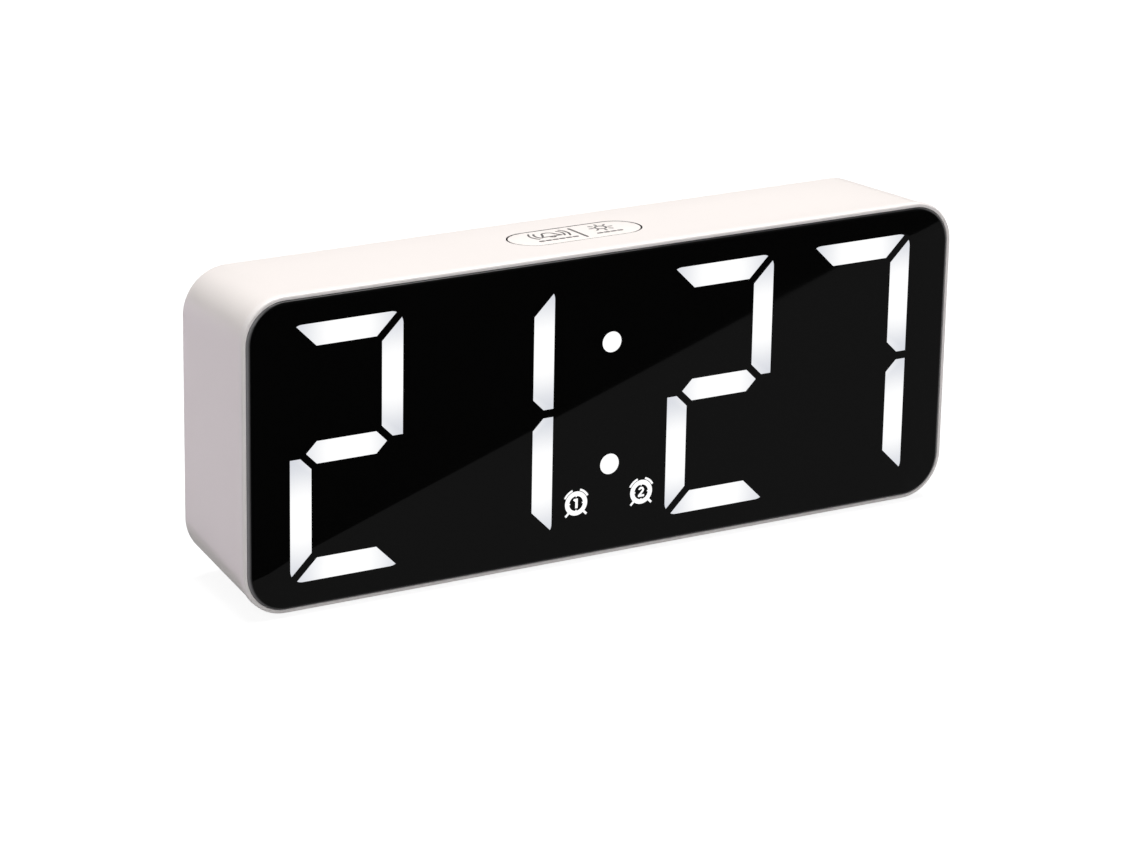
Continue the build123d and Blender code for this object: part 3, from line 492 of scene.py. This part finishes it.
def print_marks(name, body, strokes, width, origin, right, up):
    """Ink strokes as one piece on a flat surface: origin, right and up are in the row frame."""
    origin, right, up = (np.array(v, float) for v in (origin, right, up))
    out = np.cross(right, up)
    verts, faces, count = [], [], 0
    for points in strokes:
        v, f = ink_stroke(points, width)
        verts.append(v)
        faces.append(f + count)
        count += len(v)
    local = np.vstack(verts) * MM
    placed = origin + local[:, :1] * right + local[:, 1:2] * up + local[:, 2:] * out
    mesh = bpy.data.meshes.new(name)
    mesh.from_pydata(placed.tolist(), [], np.vstack(faces).tolist())
    mesh.materials.append(ink.material)
    piece = bpy.data.objects.new(name, mesh)
    bpy.context.scene.collection.objects.link(piece)
    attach(piece, body)


ink = Finish("pad_print_ink")
thin_spots = ink.noise(0.35 * MM, 4.0, 0.7)
ink.wear(
    Base_Color=ink.blend(thin_spots.ease(0.35, 0.75), (0.075, 0.07, 0.07), (0.17, 0.16, 0.155)),
    Roughness=0.5 + thin_spots * 0.15)

_, key_top, key_normal, _ = nodes["snooze_key"].ray_cast(
    Vector((key_x, key_y, key_hi.z + 0.01)), Vector((0, 0, -1)))
key_up = Vector((0, key_normal.z, -key_normal.y)).normalized()
print_marks("snooze_key_divider", "snooze_button", [line((0.9, -4.3), (0.9, 4.3))], 0.65,
            key_top, (1, 0, 0), key_up)
print_marks("snooze_key_bell", "snooze_button", ringing_bell(-5.6, 1.6, 2.4), 0.5,
            key_top, (1, 0, 0), key_up)
print_marks("snooze_key_sun", "snooze_button", sun(7.6, 1.6, 2.8), 0.5, key_top, (1, 0, 0), key_up)
DASH_PITCH, DASH_L, DASH_Y = 1.7, 0.75, -2.9
dash_starts = (*np.arange(-10.2, -0.8, DASH_PITCH), *np.arange(4.6, 10.4, DASH_PITCH))
dashes = [line((x, DASH_Y), (x + DASH_L, DASH_Y)) for x in dash_starts]
print_marks("snooze_key_dashes", "snooze_button", dashes, 0.85, key_top, (1, 0, 0), key_up)

minus_bar, plus_bar = line((-1.1, 0), (1.1, 0)), line((0, -1.1), (0, 1.1))
REAR_MARKS = (
    sun(0, 0, 1.5), [minus_bar], [minus_bar, plus_bar], bell(0, 0.1, 1.25), clock_face(0, 0, 1.25))
for name, strokes in zip(REAR_KEYS, REAR_MARKS):
    lo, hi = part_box(name)
    print_marks(name + "_mark", name.replace("key", "button"), strokes, 0.24,
                ((lo.x + hi.x) / 2, hi.y, (lo.z + hi.z) / 2), (-1, 0, 0), (0, 0, 1))

ARROW_DROP = 9.5 * MM
door_lo, door_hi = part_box("battery_door")
print_marks("battery_door_arrow", "door", [line((-2.2, 1.3), (0, -1.1), (2.2, 1.3))], 0.4,
            ((door_lo.x + door_hi.x) / 2, door_hi.y, door_hi.z - ARROW_DROP), (-1, 0, 0), (0, 0, 1))

# ------------------------------------------------------------------ feet
# Four black rubber discs, stuck in shallow seats under the case.
# They are matt and slightly grainy.
moulded_plastic(
    "foot_rubber", (0.02, 0.02, 0.02), (0.035, 0.034, 0.033), 0.4 * MM, 0.8, ["rubber_feet"])

# ------------------------------------------------------------------ smooth shading
# The moulded shapes have small radii: faces that meet at less than SHARP are shaded as one
# surface, once the corners that they share are merged.
SHARP, SAME_POINT = math.radians(28), 1e-6
for part in nodes.values():
    part.data.shade_smooth()
    part.modifiers.new("merge_corners", "WELD").merge_threshold = SAME_POINT
    edges = part.modifiers.new("keep_sharp_edges", "EDGE_SPLIT")
    edges.split_angle = SHARP

# ------------------------------------------------------------------ floor, light and camera
# A plain pale floor, a wide soft light overhead, a second one in front on the left, and a dim
# room.  Camera, diffuse and glossy rays each see sheets of their own, so these are lit apart.
# The lens mirrors a pale sheet under the clock, whose straight edge crosses it as a diagonal.


def stage_sheet(name, corners, height, glow, grey, seen_by, tint=(1, 1, 1, 1)):
    """A flat matt polygon lying at that height, for those kinds of ray only."""
    mesh = bpy.data.meshes.new(name)
    mesh.from_pydata([(x * MM, y * MM, height * MM) for x, y in corners], [], [range(len(corners))])
    sheet = bpy.data.objects.new(name, mesh)
    for ray in ("camera", "diffuse", "glossy", "transmission", "shadow"):
        setattr(sheet, "visible_" + ray, ray in seen_by)
    paint = Finish(name + "_paint", Roughness=0.9, Specular_IOR_Level=0.0,
                   Emission_Color=tint, Emission_Strength=glow)
    paint.wear(Base_Color=paint.blend(paint.noise(400 * MM), (grey,) * 3, (grey * 1.03,) * 3))
    mesh.materials.append(paint.material)
    bpy.context.scene.collection.objects.link(sheet)


WIDE = [(-4000, -4000), (4000, -4000), (4000, 4000), (-4000, 4000)]
stage_sheet("floor", WIDE, -0.2, 0.90, 0.2, ("camera",))
stage_sheet("floor_bounce", WIDE, -0.25, 0.0, 0.48, ("diffuse",))
EDGE_TURN, EDGE_FRONT = math.radians(30), 85
SHEET_LEFT, BESIDE_RIGHT, SHEET_RIGHT, SHEET_BACK = -600, -95, 800, 1500


def near_edge(x):
    """The y of the pale sheet's near edge at that x, a straight line turned by EDGE_TURN."""
    return -EDGE_FRONT - x * math.tan(EDGE_TURN)


stage_sheet("mirrored_sheet",
            [(SHEET_LEFT, near_edge(SHEET_LEFT)), (SHEET_RIGHT, near_edge(SHEET_RIGHT)),
             (SHEET_RIGHT, SHEET_BACK), (SHEET_LEFT, SHEET_BACK)], -0.1, 0.36, 0.01, ("glossy",))
stage_sheet("mirrored_beside",
            [(SHEET_LEFT, near_edge(SHEET_LEFT)), (BESIDE_RIGHT, near_edge(BESIDE_RIGHT)),
             (BESIDE_RIGHT, SHEET_BACK), (SHEET_LEFT, SHEET_BACK)],
            -0.05, 1.35, 0.01, ("glossy",), (1.0, 0.86, 1.0, 1))
stage_sheet("mirrored_table", WIDE, -0.3, 0.04, 0.01, ("glossy",))


def soft_light(name, place, aim, size, power, colour):
    """A square soft box at place that points at aim."""
    light = bpy.data.lights.new(name, "AREA")
    light.shape, light.size, light.energy, light.color = "SQUARE", size, power, colour
    lamp = bpy.data.objects.new(name, light)
    lamp.location = place
    lamp.rotation_euler = (Vector(aim) - Vector(place)).to_track_quat("-Z", "Y").to_euler()
    bpy.context.scene.collection.objects.link(lamp)


soft_light("overhead", (0.15, 0.05, 1.4), (0, 0, 0.03), 1.0, 26.0, (1.0, 0.988, 0.978))
soft_light("front_left", (-0.9, -1.6, 0.9), (0, 0, 0.03), 0.9, 9.0, (0.96, 0.97, 1.0))

world = bpy.data.worlds.new("grey_room")
world.use_nodes = True
world.node_tree.nodes["Background"].inputs["Color"].default_value = (0.95, 0.97, 1.0, 1)
world.node_tree.nodes["Background"].inputs["Strength"].default_value = 0.15
bpy.context.scene.world = world
bpy.context.scene.view_settings.view_transform = "Standard"

BEARING, ELEVATION, ROLL = math.radians(-30.0), math.radians(18.46), math.radians(1.06)
DISTANCE, LENS = 947.0 * MM, 132.8
SHIFT_X, SHIFT_Y = -0.0025, -0.0404
camera_data = bpy.data.cameras.new("camera")
camera_data.sensor_width, camera_data.lens = 36.0, LENS
camera_data.shift_x, camera_data.shift_y = SHIFT_X, SHIFT_Y
camera = bpy.data.objects.new("camera", camera_data)
back = Vector((
    math.sin(BEARING) * math.cos(ELEVATION),
    -math.cos(BEARING) * math.cos(ELEVATION),
    math.sin(ELEVATION)))
level = Vector((0, 0, 1)).cross(back).normalized()
upright = back.cross(level)
right = math.cos(ROLL) * level + math.sin(ROLL) * upright
up = back.cross(right)
camera.matrix_world = Matrix.Translation(Vector((0, 0, mid_z)) + back * DISTANCE) @ Matrix(
    (right, up, back)).transposed().to_4x4()
bpy.context.scene.collection.objects.link(camera)
bpy.context.scene.camera = camera
